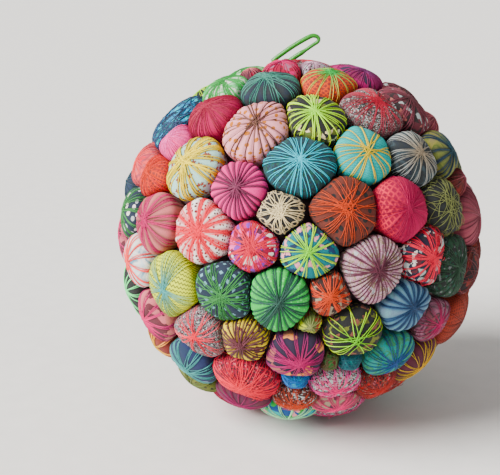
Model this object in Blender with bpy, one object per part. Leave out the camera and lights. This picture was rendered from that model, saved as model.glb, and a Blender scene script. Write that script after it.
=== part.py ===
"""Ball of stuffed cloth puffs, each crossed by wound thread, with a hanging loop of green cord.

Metres, +Z up. The origin is the middle of the flat spot on which the ball stands.
"""
import math
import random
from collections import namedtuple

import bmesh
import bpy
import numpy as np

# Sizes of the ball
BALL_RADIUS = 0.127
FLAT_DEPTH = 0.004
CENTRE = np.array([0.0, 0.0, BALL_RADIUS - FLAT_DEPTH])
CORE_RADIUS = 0.105
CORE_SUBDIVISIONS = 3
SEAT_GAP = 0.0009
SIDE_GAP = 0.0003
ROOT_DEPTH = 0.003

# Puffs further apart than this, as an angle between their edges, don't touch
NEIGHBOUR_REACH = 0.02
# A direction with more than this share along Z is steep, and one below minus half points down
STEEP = 0.9
DOWNWARD = -0.5
SHARP_ANGLE = math.radians(60.0)

# Small puffs sit lower than the large ones around them
FULL_WIDTH = 0.036
RECESS_PER_WIDTH = 0.16

# A puff's section from its base to its pole: share of its half width, share of its height
PUFF_SECTION = [(0.90, 0.0), (1.0, 0.50), (0.90, 0.78), (0.58, 0.95)]
PRESSED_SECTION = [(0.90, 0.0), (1.0, 0.45), (0.98, 0.64), (0.86, 0.90)]
JOINED_SECTION = [(0.98, 0.0), (1.0, 0.52), (0.74, 0.89)]
FREE_SIDES = 12
JOINED_SIDES = 9
# Puffs squeezed together fill their places past their own round form
SQUEEZE = 1.25

# The front view in which the puffs' places are given: a frame 500 wide and 475 high, in pixels
VIEW_DEPTH = 0.75
VIEW_PITCH = math.radians(14.9)
VIEW_FOCAL = 1065.0
VIEW_MIDDLE = (250.0, 237.5)
BALL_IN_VIEW = (298.3, 237.0)
TOWARDS_VIEW = np.array([0.0, -math.cos(VIEW_PITCH), math.sin(VIEW_PITCH)])

# Hidden puffs fill the rest of the ball
HIDDEN_COUNT = 64
HIDDEN_WIDTH = (0.036, 0.049)
HIDDEN_SEED = 12
SPREAD_ROUNDS = 260
FILLER_COUNT = 26
FILLER_WIDTH = (0.013, 0.036)
FILLER_GROWTH = 1.3
PROBE_COUNT = 2400
VIEW_EDGE = 0.12
# Shares of the clear space asked for round each hidden puff's first place, widest first
START_SHARES = (0.9, 0.6, 0.35, 0.15)
PUSH_SHARE = 0.35
SMALLEST = 1e-6

# The cord loop stands in a gap between puffs behind the top
LOOP_ROOT_LEFT = math.radians(7.8)
LOOP_ROOT_BACK = math.radians(18.0)
LOOP_ROOT_WIDTH = 0.0116
CORD_DIAMETER = 0.0026
CORD_POINTS = 44
LOOP_FOOT_SPREAD = 0.0024
# The ball's flat faces lie about 1 mm inside its round form where the loop's feet meet them
LOOP_FOOT_DEPTH = 0.0007
LOOP_MOUTH_SPREAD = 0.0032
LOOP_MOUTH_RISE = 0.0005
# The loop's open part from its left mouth to its right one, from the ball's centre
LOOP_STOPS = [
    (-0.0175, 0.0390, 0.1212),
    (-0.0120, 0.0390, 0.1242),
    (-0.0040, 0.0388, 0.1292),
    (0.0040, 0.0386, 0.1340),
    (0.0100, 0.0385, 0.1368),
    (0.0139, 0.0385, 0.1358),
    (0.0142, 0.0385, 0.1330),
    (0.0100, 0.0385, 0.1300),
    (0.0030, 0.0386, 0.1262),
    (-0.0040, 0.0388, 0.1234),
    (-0.0095, 0.0390, 0.1222),
]
CORD_BEVEL_STEPS = 1

# The puff on which the ball stands
BASE_WIDTH = 0.050

Row = namedtuple("Row", "name view_x view_y width_mm colour", defaults=["plain_cloth"])

# Puffs in view that are pieces of their own
FRONT_PUFFS = [
    Row("mint_white", 222, 79, 42, "pale_blue"),
    Row("turquoise_navy", 167, 116, 52, "navy"),
    Row("crimson", 206, 106, 44, "crimson"),
    Row("bubblegum", 168, 137, 31, "pink"),
    Row("coral_mesh", 147, 170, 33, "coral"),
    Row("peach", 136, 160, 36, "coral"),
    Row("dark_teal", 124, 180, 30, "teal"),
    Row("green_on_navy", 122, 209, 38, "navy"),
    Row("pink_on_beige", 143, 220, 43, "pink"),
    Row("salmon_pale", 126, 262, 40, "pale_blue"),
    Row("mint_on_black", 126, 290, 32, "black"),
    Row("magenta_pink", 144, 321, 40, "pink"),
    Row("yellow_wound", 184, 159, 44, "yellow"),
    Row("pink_brown", 256, 120, 52, "pink"),
    Row("magenta_striped", 236, 187, 41, "magenta"),
    Row("slate_teal", 267, 75, 46, "teal"),
    Row("red_pink", 282, 61, 34, "crimson"),
    Row("orange_green", 331, 71, 44, "coral"),
    Row("lime_on_dark", 315, 111, 44, "lime"),
    Row("magenta_top", 365, 70, 34, "magenta"),
    Row("teal_sky", 300, 159, 53, "teal"),
    Row("red_on_tweed", 378, 100, 46, "crimson"),
    Row("dark_red_white", 412, 99, 50, "crimson"),
    Row("turquoise_yellow", 368, 148, 42, "turquoise"),
    Row("grey", 422, 152, 42, "grey"),
    Row("blue_olive", 454, 150, 46, "navy"),
    Row("olive_on_black", 453, 205, 40, "black"),
    Row("dusty_burgundy", 480, 215, 46, "burgundy"),
    Row("pink_mesh", 410, 208, 46, "magenta"),
    Row("coral_white", 435, 258, 44, "coral"),
    Row("dark_green", 460, 268, 44, "green"),
    Row("maroon", 478, 270, 34, "burgundy"),
    Row("brick", 464, 322, 40, "coral"),
    Row("pink_grey", 440, 325, 32, "pink"),
    Row("blue_grey", 415, 309, 40, "pale_blue"),
    Row("mauve", 380, 271, 49, "burgundy"),
    Row("brown_orange", 348, 209, 51, "brown"),
    Row("turquoise_lime", 309, 253, 43, "turquoise"),
    Row("beige_on_black", 279, 211, 34, "black"),
    Row("pink_purple", 251, 247, 38, "pink"),
    Row("red_on_dots", 196, 231, 43, "crimson"),
    Row("yellow_green_knit", 163, 290, 44, "lime"),
    Row("green_crossed", 219, 298, 44, "green"),
    Row("green_lobed", 279, 304, 50, "green"),
    Row("small_orange", 331, 298, 31, "coral"),
    Row("lime_on_black", 356, 342, 42, "black"),
    Row("coral_on_tweed", 194, 338, 39, "grey"),
    Row("maroon_on_yellow", 239, 346, 35, "yellow"),
    Row("purple_magenta", 299, 366, 44, "purple"),
    Row("aqua_on_blue", 186, 372, 40, "navy"),
    Row("coral_wound", 244, 391, 48, "coral"),
    Row("rust", 153, 349, 28, "brown"),
    Row("teal_blue", 396, 364, 39, "teal"),
    Row("gold_on_burgundy", 421, 369, 37, "burgundy"),
    Row("pink_white", 338, 392, 36, "pink"),
    Row("red_orange", 380, 392, 34, "coral"),
]

# Small puffs and edge puffs in view, which are one solid with the ball
JOINED_PUFFS = [
    Row("plum", 249, 69, 18),
    Row("mauve_ridge", 313, 62, 24),
    Row("coral_edge", 434, 117, 22),
    Row("brick_edge", 465, 177, 24),
    Row("lime_bead", 311, 328, 15),
    Row("olive_under", 190, 386, 34),
    Row("magenta_under", 240, 406, 42),
    Row("shaggy_blue", 296, 386, 18),
    Row("shaggy_orange", 295, 407, 34),
    Row("mint_under", 287, 419, 42),
    Row("pink_under", 337, 410, 38),
    Row("green_bead", 332, 367, 15),
    Row("teal_bead", 351, 367, 17),
]

# Colours of cloth and cord
PALETTE = {
    "pale_blue": (0.55, 0.68, 0.72),
    "navy": (0.03, 0.07, 0.16),
    "crimson": (0.58, 0.05, 0.09),
    "pink": (0.72, 0.25, 0.35),
    "coral": (0.78, 0.16, 0.11),
    "teal": (0.02, 0.20, 0.24),
    "turquoise": (0.05, 0.38, 0.44),
    "magenta": (0.48, 0.04, 0.20),
    "yellow": (0.65, 0.48, 0.08),
    "lime": (0.38, 0.50, 0.10),
    "green": (0.05, 0.27, 0.12),
    "grey": (0.22, 0.23, 0.25),
    "black": (0.02, 0.02, 0.025),
    "burgundy": (0.26, 0.04, 0.09),
    "purple": (0.10, 0.04, 0.14),
    "brown": (0.28, 0.09, 0.05),
    "plain_cloth": (0.30, 0.24, 0.26),
    "loop_cord": (0.10, 0.42, 0.09),
}


class Puff:
    """One puff: its name, the direction of its pole from the ball's centre, and its width."""

    def __init__(self, name, pole, width, colour):
        self.name = name
        self.pole = pole
        self.width = width
        self.colour = colour
        self.spread = 0.5 * width / BALL_RADIUS
        self.crown = crown_radius(width)


def crown_radius(width):
    """Height of a puff's pole above the ball's centre."""
    return BALL_RADIUS - max(0.0, FULL_WIDTH - width) * RECESS_PER_WIDTH


def unit(vector):
    return vector / np.linalg.norm(vector)


def pole_in_view(view_x, view_y, radius):
    """Direction from the ball's centre to the spot at a radius that the front view shows at a pixel."""
    right = np.array([1.0, 0.0, 0.0])
    up = np.array([0.0, math.sin(VIEW_PITCH), math.cos(VIEW_PITCH)])
    ahead = np.array([0.0, math.cos(VIEW_PITCH), -math.sin(VIEW_PITCH)])
    ball_right = (BALL_IN_VIEW[0] - VIEW_MIDDLE[0]) / VIEW_FOCAL
    ball_up = (VIEW_MIDDLE[1] - BALL_IN_VIEW[1]) / VIEW_FOCAL
    eye = -VIEW_DEPTH * (ahead + ball_right * right + ball_up * up)
    ray = unit(
        ahead
        + right * (view_x - VIEW_MIDDLE[0]) / VIEW_FOCAL
        + up * (VIEW_MIDDLE[1] - view_y) / VIEW_FOCAL
    )
    nearest = -eye.dot(ray)
    miss = np.linalg.norm(eye + nearest * ray)
    reach = math.sqrt(max(0.0, radius ** 2 - miss ** 2))
    return unit(eye + (nearest - reach) * ray)


def puff_in_view(row):
    width = row.width_mm / 1000.0
    pole = pole_in_view(row.view_x, row.view_y, crown_radius(width))
    return Puff(row.name, pole, width, row.colour)


def even_directions(count):
    """Directions spread evenly over a sphere along a spiral."""
    golden_turn = math.pi * (3.0 - math.sqrt(5.0))
    steps = np.arange(count) + 0.5
    heights = 1.0 - 2.0 * steps / count
    rims = np.sqrt(1.0 - heights ** 2)
    turns = golden_turn * steps
    return np.stack([rims * np.cos(turns), rims * np.sin(turns), heights], axis=1)


def clearance(direction, puffs):
    """Angle from a direction to the edge of the nearest puff."""
    return min(math.acos(max(-1.0, min(1.0, direction.dot(p.pole)))) - p.spread for p in puffs)


def hidden_start(fixed):
    """First places of the hidden puffs: even directions that lie clear of the fixed puffs."""
    chance = random.Random(HIDDEN_SEED)
    candidates = even_directions(PROBE_COUNT)
    order = list(range(PROBE_COUNT))
    chance.shuffle(order)
    hidden = []
    needed = 0.5 * HIDDEN_WIDTH[0] / BALL_RADIUS
    for share in START_SHARES:
        for index in order:
            if len(hidden) == HIDDEN_COUNT:
                return hidden
            direction = candidates[index]
            if direction.dot(TOWARDS_VIEW) > VIEW_EDGE:
                continue
            if clearance(direction, fixed + hidden) > share * needed:
                width = chance.uniform(*HIDDEN_WIDTH)
                hidden.append(Puff("hidden_%02d" % len(hidden), direction, width, "plain_cloth"))
    return hidden


def spread_hidden(hidden, fixed):
    """Push the hidden puffs apart until they lie side by side."""
    puffs = hidden + fixed
    poles = np.array([p.pole for p in puffs])
    spreads = np.array([p.spread for p in puffs])
    wanted = spreads[:, None] + spreads[None, :]
    free = len(hidden)
    for _ in range(SPREAD_ROUNDS):
        across = poles[:free, None, :] - poles[None, :, :]
        apart = np.linalg.norm(across, axis=2)
        overlap = np.clip(wanted[:free] - apart, 0.0, None)
        overlap[np.arange(free), np.arange(free)] = 0.0
        away = across / np.maximum(apart, SMALLEST)[:, :, None]
        poles[:free] += PUSH_SHARE * (away * overlap[:, :, None]).sum(axis=1)
        poles[:free] /= np.linalg.norm(poles[:free], axis=1)[:, None]
    for puff, pole in zip(hidden, poles):
        puff.pole = pole


def fill_gaps(puffs):
    """Small puffs in the widest gaps that the front view doesn't show."""
    fillers = []
    probes = even_directions(PROBE_COUNT)
    probes = probes[probes.dot(TOWARDS_VIEW) < VIEW_EDGE]
    while len(fillers) < FILLER_COUNT:
        gaps = [clearance(probe, puffs + fillers) for probe in probes]
        widest = int(np.argmax(gaps))
        width = 2.0 * gaps[widest] * BALL_RADIUS * FILLER_GROWTH
        if width < FILLER_WIDTH[0]:
            break
        width = min(width, FILLER_WIDTH[1])
        fillers.append(Puff("filler_%02d" % len(fillers), probes[widest], width, "plain_cloth"))
    return fillers


def loop_root():
    """The gap in which the cord loop stands, held open like a puff's place."""
    pole = np.array([
        -math.sin(LOOP_ROOT_LEFT),
        math.sin(LOOP_ROOT_BACK),
        math.cos(LOOP_ROOT_BACK),
    ])
    return Puff("loop_root", unit(pole), LOOP_ROOT_WIDTH, "loop_cord")


def plan_puffs():
    """All puffs by group: pieces of their own, those in one with the ball, the base, the loop's gap."""
    front = [puff_in_view(row) for row in FRONT_PUFFS]
    joined = [puff_in_view(row) for row in JOINED_PUFFS]
    base = Puff("base", np.array([0.0, 0.0, -1.0]), BASE_WIDTH, "burgundy")
    root = loop_root()
    fixed = front + joined + [base, root]
    hidden = hidden_start(fixed)
    spread_hidden(hidden, fixed)
    hidden += fill_gaps(fixed + hidden)
    spread_hidden(hidden, fixed)
    return front, joined + hidden, base, root


def outline_angles(puff, others, sides):
    """Rays all round a puff's pole, each with the angle at which the puff ends along it.

    It ends at its own round form, stretched by SQUEEZE, or at the plane through the ball's centre
    that parts it from a neighbour.
    """
    steep = abs(puff.pole[2]) >= STEEP
    helper = np.array([1.0, 0.0, 0.0]) if steep else np.array([0.0, 0.0, 1.0])
    first = unit(np.cross(helper, puff.pole))
    second = np.cross(puff.pole, first)
    rays = []
    for step in range(sides):
        turn = 2.0 * math.pi * step / sides
        ray = math.cos(turn) * first + math.sin(turn) * second
        limit = puff.spread * SQUEEZE
        for other in others:
            apart = math.acos(max(-1.0, min(1.0, puff.pole.dot(other.pole))))
            if other is puff or apart > SQUEEZE * (puff.spread + other.spread) + NEIGHBOUR_REACH:
                continue
            towards = unit(other.pole - puff.pole * puff.pole.dot(other.pole))
            split = apart * puff.spread / (puff.spread + other.spread)
            along = math.cos(split) * ray.dot(towards)
            level = math.sin(split)
            slack = math.asin(SIDE_GAP / (CORE_RADIUS * math.hypot(along, level)))
            limit = min(limit, math.atan2(level, along) - slack)
        rays.append((ray, limit))
    return rays


def puff_mesh(puff, others, section, sides, base_radius):
    """Closed dome over a puff's outline, pressed flat where it meets the surface below."""
    height = puff.crown - base_radius
    rays = outline_angles(puff, others, sides)
    shape = bmesh.new()

    def place(direction, radius):
        if direction[2] < DOWNWARD:
            radius = min(radius, CENTRE[2] / -direction[2])
        return shape.verts.new(CENTRE + radius * direction)

    rings = []
    for reach, rise in section:
        ring = []
        for ray, limit in rays:
            angle = reach * limit
            direction = math.cos(angle) * puff.pole + math.sin(angle) * ray
            ring.append(place(direction, base_radius + rise * height))
        rings.append(ring)
    bottom = place(puff.pole, base_radius)
    top = place(puff.pole, puff.crown)
    for step in range(sides):
        after = (step + 1) % sides
        shape.faces.new((bottom, rings[0][after], rings[0][step]))
        shape.faces.new((top, rings[-1][step], rings[-1][after]))
        for lower, upper in zip(rings, rings[1:]):
            shape.faces.new((lower[step], lower[after], upper[after], upper[step]))
    bmesh.ops.triangulate(shape, faces=[f for f in shape.faces if len(f.verts) == 4])
    bmesh.ops.recalc_face_normals(shape, faces=shape.faces)
    return shape


def cloth(colour):
    """Plain rough material in one of the palette's colours."""
    material = bpy.data.materials.get(colour)
    if material:
        return material
    material = bpy.data.materials.new(colour)
    material.use_nodes = True
    shader = material.node_tree.nodes["Principled BSDF"]
    shader.inputs["Base Color"].default_value = (*PALETTE[colour], 1.0)
    shader.inputs["Roughness"].default_value = 0.85
    shader.inputs["Metallic"].default_value = 0.0
    return material


def add_object(name, shape, colour):
    """Put a bmesh into the scene as a named object with its material."""
    mesh = bpy.data.meshes.new(name)
    shape.to_mesh(mesh)
    shape.free()
    mesh.shade_smooth()
    mesh.set_sharp_from_angle(angle=SHARP_ANGLE)
    mesh.materials.append(cloth(colour))
    piece = bpy.data.objects.new(name, mesh)
    bpy.context.scene.collection.objects.link(piece)
    return piece


def make_free_puff(puff, others, section=PUFF_SECTION):
    """A puff that is a piece of its own, seated just above the ball's surface."""
    shape = puff_mesh(puff, others, section, FREE_SIDES, CORE_RADIUS + SEAT_GAP)
    add_object("puff_" + puff.name, shape, puff.colour)


def make_ball(joined, others):
    """The ball with the hidden and small puffs raised on it, as one solid."""
    core = bmesh.new()
    bmesh.ops.create_icosphere(core, subdivisions=CORE_SUBDIVISIONS, radius=CORE_RADIUS)
    bmesh.ops.translate(core, verts=core.verts, vec=CENTRE)
    ball = add_object("ball", core, "plain_cloth")
    cutters = bpy.data.collections.new("joined_puffs")
    for puff in joined:
        shape = puff_mesh(puff, others, JOINED_SECTION, JOINED_SIDES, CORE_RADIUS - ROOT_DEPTH)
        piece = add_object("joined_" + puff.name, shape, "plain_cloth")
        bpy.context.scene.collection.objects.unlink(piece)
        cutters.objects.link(piece)
    union = ball.modifiers.new("raise_puffs", "BOOLEAN")
    union.operation = "UNION"
    union.operand_type = "COLLECTION"
    union.collection = cutters
    union.solver = "EXACT"


def loop_route():
    """Places along the cord loop: up out of its gap, along to the tip, and back."""
    root = loop_root().pole
    deep = CENTRE + root * (CORE_RADIUS - LOOP_FOOT_DEPTH)
    mouth = CENTRE + root * (BALL_RADIUS + LOOP_MOUTH_RISE)
    left = np.array([-1.0, 0.0, 0.0])
    open_part = [CENTRE + np.array(stop) for stop in LOOP_STOPS]
    return np.array(
        [deep + left * LOOP_FOOT_SPREAD, mouth + left * LOOP_MOUTH_SPREAD]
        + open_part
        + [mouth - left * LOOP_MOUTH_SPREAD, deep - left * LOOP_FOOT_SPREAD]
    )


def smooth_points(stops, count):
    """Points along a smooth curve through the stops."""
    padded = np.vstack([2.0 * stops[0] - stops[1], stops, 2.0 * stops[-1] - stops[-2]])
    points = []
    spans = len(stops) - 1
    for place in np.linspace(0.0, spans, count):
        span = min(int(place), spans - 1)
        t = place - span
        a, b, c, d = padded[span:span + 4]
        points.append(0.5 * (2.0 * b + (c - a) * t + (2.0 * a - 5.0 * b + 4.0 * c - d) * t ** 2
                             + (3.0 * b - a - 3.0 * c + d) * t ** 3))
    return points


def make_loop():
    """The hanging loop: one round cord, both ends sewn down in one gap."""
    curve = bpy.data.curves.new("hanging_loop", "CURVE")
    curve.dimensions = "3D"
    curve.bevel_depth = 0.5 * CORD_DIAMETER
    curve.bevel_resolution = CORD_BEVEL_STEPS
    curve.use_fill_caps = True
    spline = curve.splines.new("POLY")
    points = smooth_points(loop_route(), CORD_POINTS)
    spline.points.add(len(points) - 1)
    for point, place in zip(spline.points, points):
        point.co = (*place, 1.0)
    curve.materials.append(cloth("loop_cord"))
    piece = bpy.data.objects.new("hanging_loop", curve)
    bpy.context.scene.collection.objects.link(piece)


def main():
    for item in list(bpy.data.objects):
        bpy.data.objects.remove(item, do_unlink=True)
    front, joined, base, root = plan_puffs()
    everyone = front + joined + [base, root]
    for puff in front:
        make_free_puff(puff, everyone)
    make_free_puff(base, everyone, PRESSED_SECTION)
    make_ball(joined, everyone)
    make_loop()


main()
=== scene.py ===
"""Looks of a ball of stuffed cloth puffs: their cloth, the thread wound over them, and the cord loop.

Metres, +Z up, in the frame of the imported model. A puff is shaped on its own disc: a point there has
a distance t from the pole, 1 at the puff's widest line, and an angle round the pole, 0 to the
front view's right and a quarter turn towards its top.
"""
import math
import random
import re
from collections import namedtuple

import bpy
import numpy as np
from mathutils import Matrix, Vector


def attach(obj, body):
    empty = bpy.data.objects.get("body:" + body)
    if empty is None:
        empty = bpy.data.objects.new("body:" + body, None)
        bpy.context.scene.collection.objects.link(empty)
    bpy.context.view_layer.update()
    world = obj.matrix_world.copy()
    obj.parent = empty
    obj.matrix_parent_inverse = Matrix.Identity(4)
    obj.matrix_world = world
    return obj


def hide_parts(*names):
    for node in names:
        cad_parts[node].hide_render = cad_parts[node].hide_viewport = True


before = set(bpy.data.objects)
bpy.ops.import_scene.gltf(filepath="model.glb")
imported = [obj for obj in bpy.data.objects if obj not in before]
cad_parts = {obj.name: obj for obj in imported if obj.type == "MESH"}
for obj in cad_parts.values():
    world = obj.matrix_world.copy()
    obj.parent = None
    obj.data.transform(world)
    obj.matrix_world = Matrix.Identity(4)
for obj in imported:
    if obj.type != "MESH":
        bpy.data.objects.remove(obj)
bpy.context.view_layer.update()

TURN = 2.0 * math.pi
MM_PER_M = 1000.0

# The ball and the rule that places its puffs, the same as in the model
BALL_RADIUS = 0.127
FLAT_DEPTH = 0.004
CENTRE = np.array([0.0, 0.0, BALL_RADIUS - FLAT_DEPTH])
CORE_RADIUS = 0.105
SEAT_GAP = 0.0009
SIDE_GAP = 0.0004
FULL_WIDTH = 0.036
RECESS_PER_WIDTH = 0.16
SQUEEZE = 1.25
NEIGHBOUR_REACH = 0.02
BASE_WIDTH = 0.050
HIDDEN_COUNT = 64
HIDDEN_WIDTH = (0.036, 0.049)
HIDDEN_SEED = 12
SPREAD_ROUNDS = 260
FILLER_COUNT = 26
FILLER_WIDTH = (0.013, 0.036)
FILLER_GROWTH = 1.3
PROBE_COUNT = 2400
VIEW_EDGE = 0.12
START_SHARES = (0.9, 0.6, 0.35, 0.15)
PUSH_SHARE = 0.35
SMALLEST = 1e-6

# The front view: a frame 500 wide and 475 high, in pixels
VIEW_DEPTH = 0.75
VIEW_PITCH = math.radians(14.9)
VIEW_FOCAL = 1065.0
VIEW_MIDDLE = (250.0, 237.5)
VIEW_WIDTH = 500.0
BALL_IN_VIEW = (298.3, 237.0)
VIEW_RIGHT = np.array([1.0, 0.0, 0.0])
VIEW_UP = np.array([0.0, math.sin(VIEW_PITCH), math.cos(VIEW_PITCH)])
VIEW_AHEAD = np.array([0.0, math.cos(VIEW_PITCH), -math.sin(VIEW_PITCH)])
SENSOR_WIDTH = 36.0

# The loop of cord
LOOP_ROOT_LEFT = math.radians(7.8)
LOOP_ROOT_BACK = math.radians(18.0)
LOOP_ROOT_WIDTH = 0.0116
CORD_DIAMETER = 0.0026
LOOP_FOOT_DEPTH = 0.0007
LOOP_FOOT_SPREAD = 0.0024
LOOP_STOPS = [
    (-0.0171, 0.0391, 0.1174),
    (-0.0168, 0.0390, 0.1199),
    (-0.0110, 0.0390, 0.1243),
    (-0.0040, 0.0388, 0.1292),
    (0.0040, 0.0386, 0.1340),
    (0.0100, 0.0385, 0.1368),
    (0.0139, 0.0385, 0.1358),
    (0.0142, 0.0385, 0.1330),
    (0.0100, 0.0385, 0.1300),
    (0.0040, 0.0386, 0.1258),
    (-0.0010, 0.0388, 0.1226),
    (-0.0060, 0.0390, 0.1192),
    (-0.0105, 0.0391, 0.1170),
]
# The cord's thickness from its left foot to its right one: share of the way, share of its diameter
LOOP_THICKNESS = ((0.0, 1.3), (0.38, 1.3), (0.52, 1.05), (0.70, 0.98), (0.73, 1.32), (1.0, 1.32))

# A puff's section: how square its shoulder is, and where its widest line lies in its height
FULLNESS = 2.35
WIDEST = 0.56
FOOT = 1.5
DRAW_IN = 0.35
CORNER_SHARPNESS = 7.0
# How far puffs press into each other, as a share of their width
PRESSED = 1.05
EDGE_STEPS = 180
# Length on the cloth for one unit of t, as a share of the puff's half width
DISC_SCALE = 1.2

# A small step on the disc, and how near the pole normals turn into the pole's own direction
DISC_STEP = 0.01
POLE_CAP = 0.12
# Gap between the floor and the lowest cloth
FLOOR_GAP = 0.0003

# Rings of a puff's mesh and stops along half a thread, as distances from the pole
BODY_RINGS = (
    0.035, 0.08, 0.13, 0.19, 0.26, 0.34, 0.42, 0.50, 0.58,
    0.66, 0.74, 0.82, 0.90, 0.98, 1.07, 1.18, 1.32, 1.5,
)
THREAD_STOPS = (0.0, 0.07, 0.15, 0.26, 0.38, 0.50, 0.61, 0.71, 0.80, 0.89, 0.98, 1.08, 1.20)
SIDES_PER_RAY = 6
MOST_SIDES = 256
# Share of a thread's press that is left at the puff's foot
FOOT_PRESS = 0.3
PUFF_SEED = 1000

# Threads: room for one beside the next in a ray, as a share of its thickness, and how it varies; shares
# of a ray's place and of a puff's spread of angles by which threads leave their place
BUNDLE_SPACING = 1.5
BUNDLE_SPREAD = (0.5, 1.5)
RAY_WANDER = 0.28
THREAD_WANDER = 0.4
# How softly threads bend at the pole, how far they miss it and how far out that is felt
POLE_BEND = 0.045
POLE_WANDER = 0.25
POLE_REACH = 0.35
# Where a thread that ends before the rim goes into the cloth
SHORT_REACH = (0.55, 0.95)
# How far threads bend sideways, and where on their way they keep their place
STRAND_BEND = 0.7
BEND_STILL = 0.6
# How high threads pile up at the pole, in thicknesses, and how far out
PILE_THREADS = 1.2
PILE_REACH = 0.2
# Height of a thread's middle over the cloth and its spread, and how deep its ends go in, in half
# thicknesses
THREAD_SEAT = 0.45
SEAT_SPREAD = 0.5
END_SINK = 1.5
# Spreads of thickness and brightness from thread to thread
THICK_SPREAD = (0.85, 1.12)
TINT_SPREAD = (0.68, 1.25)
# How far along a thread its twist may be moved, in mm
TWIST_SHIFT = 3.0
# Where a thread's colour starts to change into that of the rim, and over what distance
TINT_START = 0.1
TINT_SPAN = 0.8
# The cloth's unevenness between threads: its height in mm, how many waves it has, how they wind, how
# far they lie below the smooth face, and how fast they grow away from the pole
LUMP_MM = 0.35
LUMP_WAVES = 6
LUMP_WINDING = 3.0
LUMP_SINK = 1.6
LUMP_GROWTH = 3.0
# Loose ends: their stops along the way out, how far from the pole they start, their length and how far
# they rise in mm, how they curve sideways and back down, their thickness and their seat on the cloth
FRINGE_STOPS = (0.0, 0.3, 0.65, 1.0)
FRINGE_START = 1.05
FRINGE_LENGTH = (2.5, 6.0)
FRINGE_RISE = (0.4, 1.8)
FRINGE_CURVE = 0.25
FRINGE_ARC = (1.2, 2.4)
FRINGE_THICK = 0.75
FRINGE_SEAT = 0.3
FRINGE_SINK = 0.2
# The ring of eyelets and the size of one, in mm
EYELET_RING = 13.0
EYELET_BORDER = 3.0
EYELET_HOLE = 1.9
# How far a print is moved from one puff to the next, across and up
SEED_SHIFT = (37.3, 19.7)
# Size of a print beside the noise that pushes its edges about, and beside the clouds of a batik
WARP_SIZE = 0.9
CLOUD_SIZE = 0.8
# How narrow the crease colour stays, a darker colour that is partly painted shade, and the painted shade at
# the creases' bottom
CREASE_POWER = 1.6
CREASE_SHADE = -0.35
# Darkest and lightest shades of cloth, thread and plain faces
CLOTH_SHADES = (0.72, 1.25)
THREAD_SHADES = (0.55, 1.4)
PLAIN_SHADES = (0.94, 1.04)
# Half the weave's spacing in mm, and how fast thread and cord are twisted, in radians for 1 mm
WEAVE = 0.4
THREAD_PLY = 3.0
CORD_PLY = 1.6
# How fine the fibres of cloth and thread are, and unevenness on plain faces
CLOTH_FIBRES = 1.7
THREAD_FIBRES = 1.3
PLAIN_GRAIN = 60.0
# Relief of cloth, thread and cord: its strength, and its depth in metres
CLOTH_BUMP = (0.5, 0.0004)
THREAD_BUMP = (0.6, 0.0003)
CORD_BUMP = (0.15, 0.0001)
# Shares of the strands, with painted shade between them, and of the fibres in a thread's shade, and their
# greatest sum
STRAND_SHARE = 0.35
FIBRE_SHARE = 0.9
SHADE_TOP = 1.2

# The curve of a screen's colours
SCREEN_OFFSET = 0.055
SCREEN_POWER = 2.4
# How the values that materials read are kept on a mesh's points
LAYERS = {
    "place": ("FLOAT_VECTOR", "vector"), "fold": ("FLOAT", "value"),
    "twist": ("FLOAT_VECTOR", "vector"), "tint": ("FLOAT_COLOR", "color"),
}

# How far colours are drawn away from grey, and how much deeper they are than they look in the photograph
VIVID = 1.12
DEPTH = 1.49
# Light that even black cloth throws back
LIFT = 0.02
# Of the cord's three colours, the darkest is painted shade and the lightest is painted light
COLOURS = dict(entry.split(":") for entry in """
snow:f2eee9 ice:dbe6ea cream:efe2bf beige:dccdb0 khaki:a59b74 taupe:9d6f60 silver:c6cdcd grey:8a9190
charcoal:3d4548 black:1d1f22 navy:28496b blue:2f6fa6 bright_blue:3797d2 sky:5fcfdd pale_blue:93b4c6
dark_blue:2a4272 teal:0e6270 dark_teal:1c4450 teal_green:5fa596 turquoise:2fc4c2 cyan:1fa9cc mint:b8ecc4
green:45a056 leaf:4d9858 bright_green:4fc46c dark_green:2b6246 bottle:156a5b forest:1d2f29 olive:868c42
moss:7d8d50 lime:b8ea00 pale_lime:dcf05c yellow_green:dce400 yellow:ecdc00 mustard:e2ce00 gold:dcb83c
orange:e0703a rust_orange:b45a48 peach:f1b27e salmon:f77a7a coral:f2566c red:c9385a scarlet:dd4c4e
brick:a0504a rust:8b3e28 brown:834738 dark_brown:46281f crimson:b01058 rose:d63a8a pink:f5629f
bubblegum:ff8ac4 pale_pink:f0b9c0 dusty_pink:d28a91 hot_pink:e22c90 magenta:b62a80 deep_magenta:8e2462
plum:7b4562 mauve:dbbccb lilac:a465c4 purple:3f2052 burgundy:6c2442 maroon:7e3a4c wine:3f2028
cord_dark:1c5f1a cord_green:35922b cord_light:55b043 carrier:6a4a52 floor:fbfaf8 studio:f2f1f0
orchid:f06aab umber:8a6250 straw:e2d018 tan:cf9150 dark_umber:5c3b2e slate:5d6f77 steel_blue:3f7fb0
dusty_mauve:b58397 deep_turquoise:2cb0ae stone:b3a795 sea_blue:1c5a82 dull_lime:a8ad7a rosewood:7a2c50
dark_rosewood:6e3a58 lake:1c939c deep_sea:1d445c sea_mist:8fb8bf ember:de6238 clay:bd6236 blush_red:e24f6b
violet_pink:cf2f8b violet:86307a rosy_clay:c98d86 dusky:24405a haze:8ea3b4 coral_pink:ec5a74
seaweed:5f9f92 apricot:ebc27a tuft_lime:a0e400 pear:aca86a dull_rose:b06a7a cerise:c4247c raspberry:c92c76
lagoon:66aeac fresh_mint:8fe8a8 soft_mint:86d898 vermilion:c84b41 pale_aqua:bddcd4 dark_magenta:8a2660
""".split())

Row = namedtuple("Row", "name view_x view_y width_mm slot cloth wind")
Cloth = namedtuple("Cloth", "pattern size colours crease")
Wind = namedtuple(
    "Wind", "way rays bundle thick pole_colour rim_colour press reach loose fringe short fans",
    defaults=[0.08, 0, 0.0, ()],
)
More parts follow.
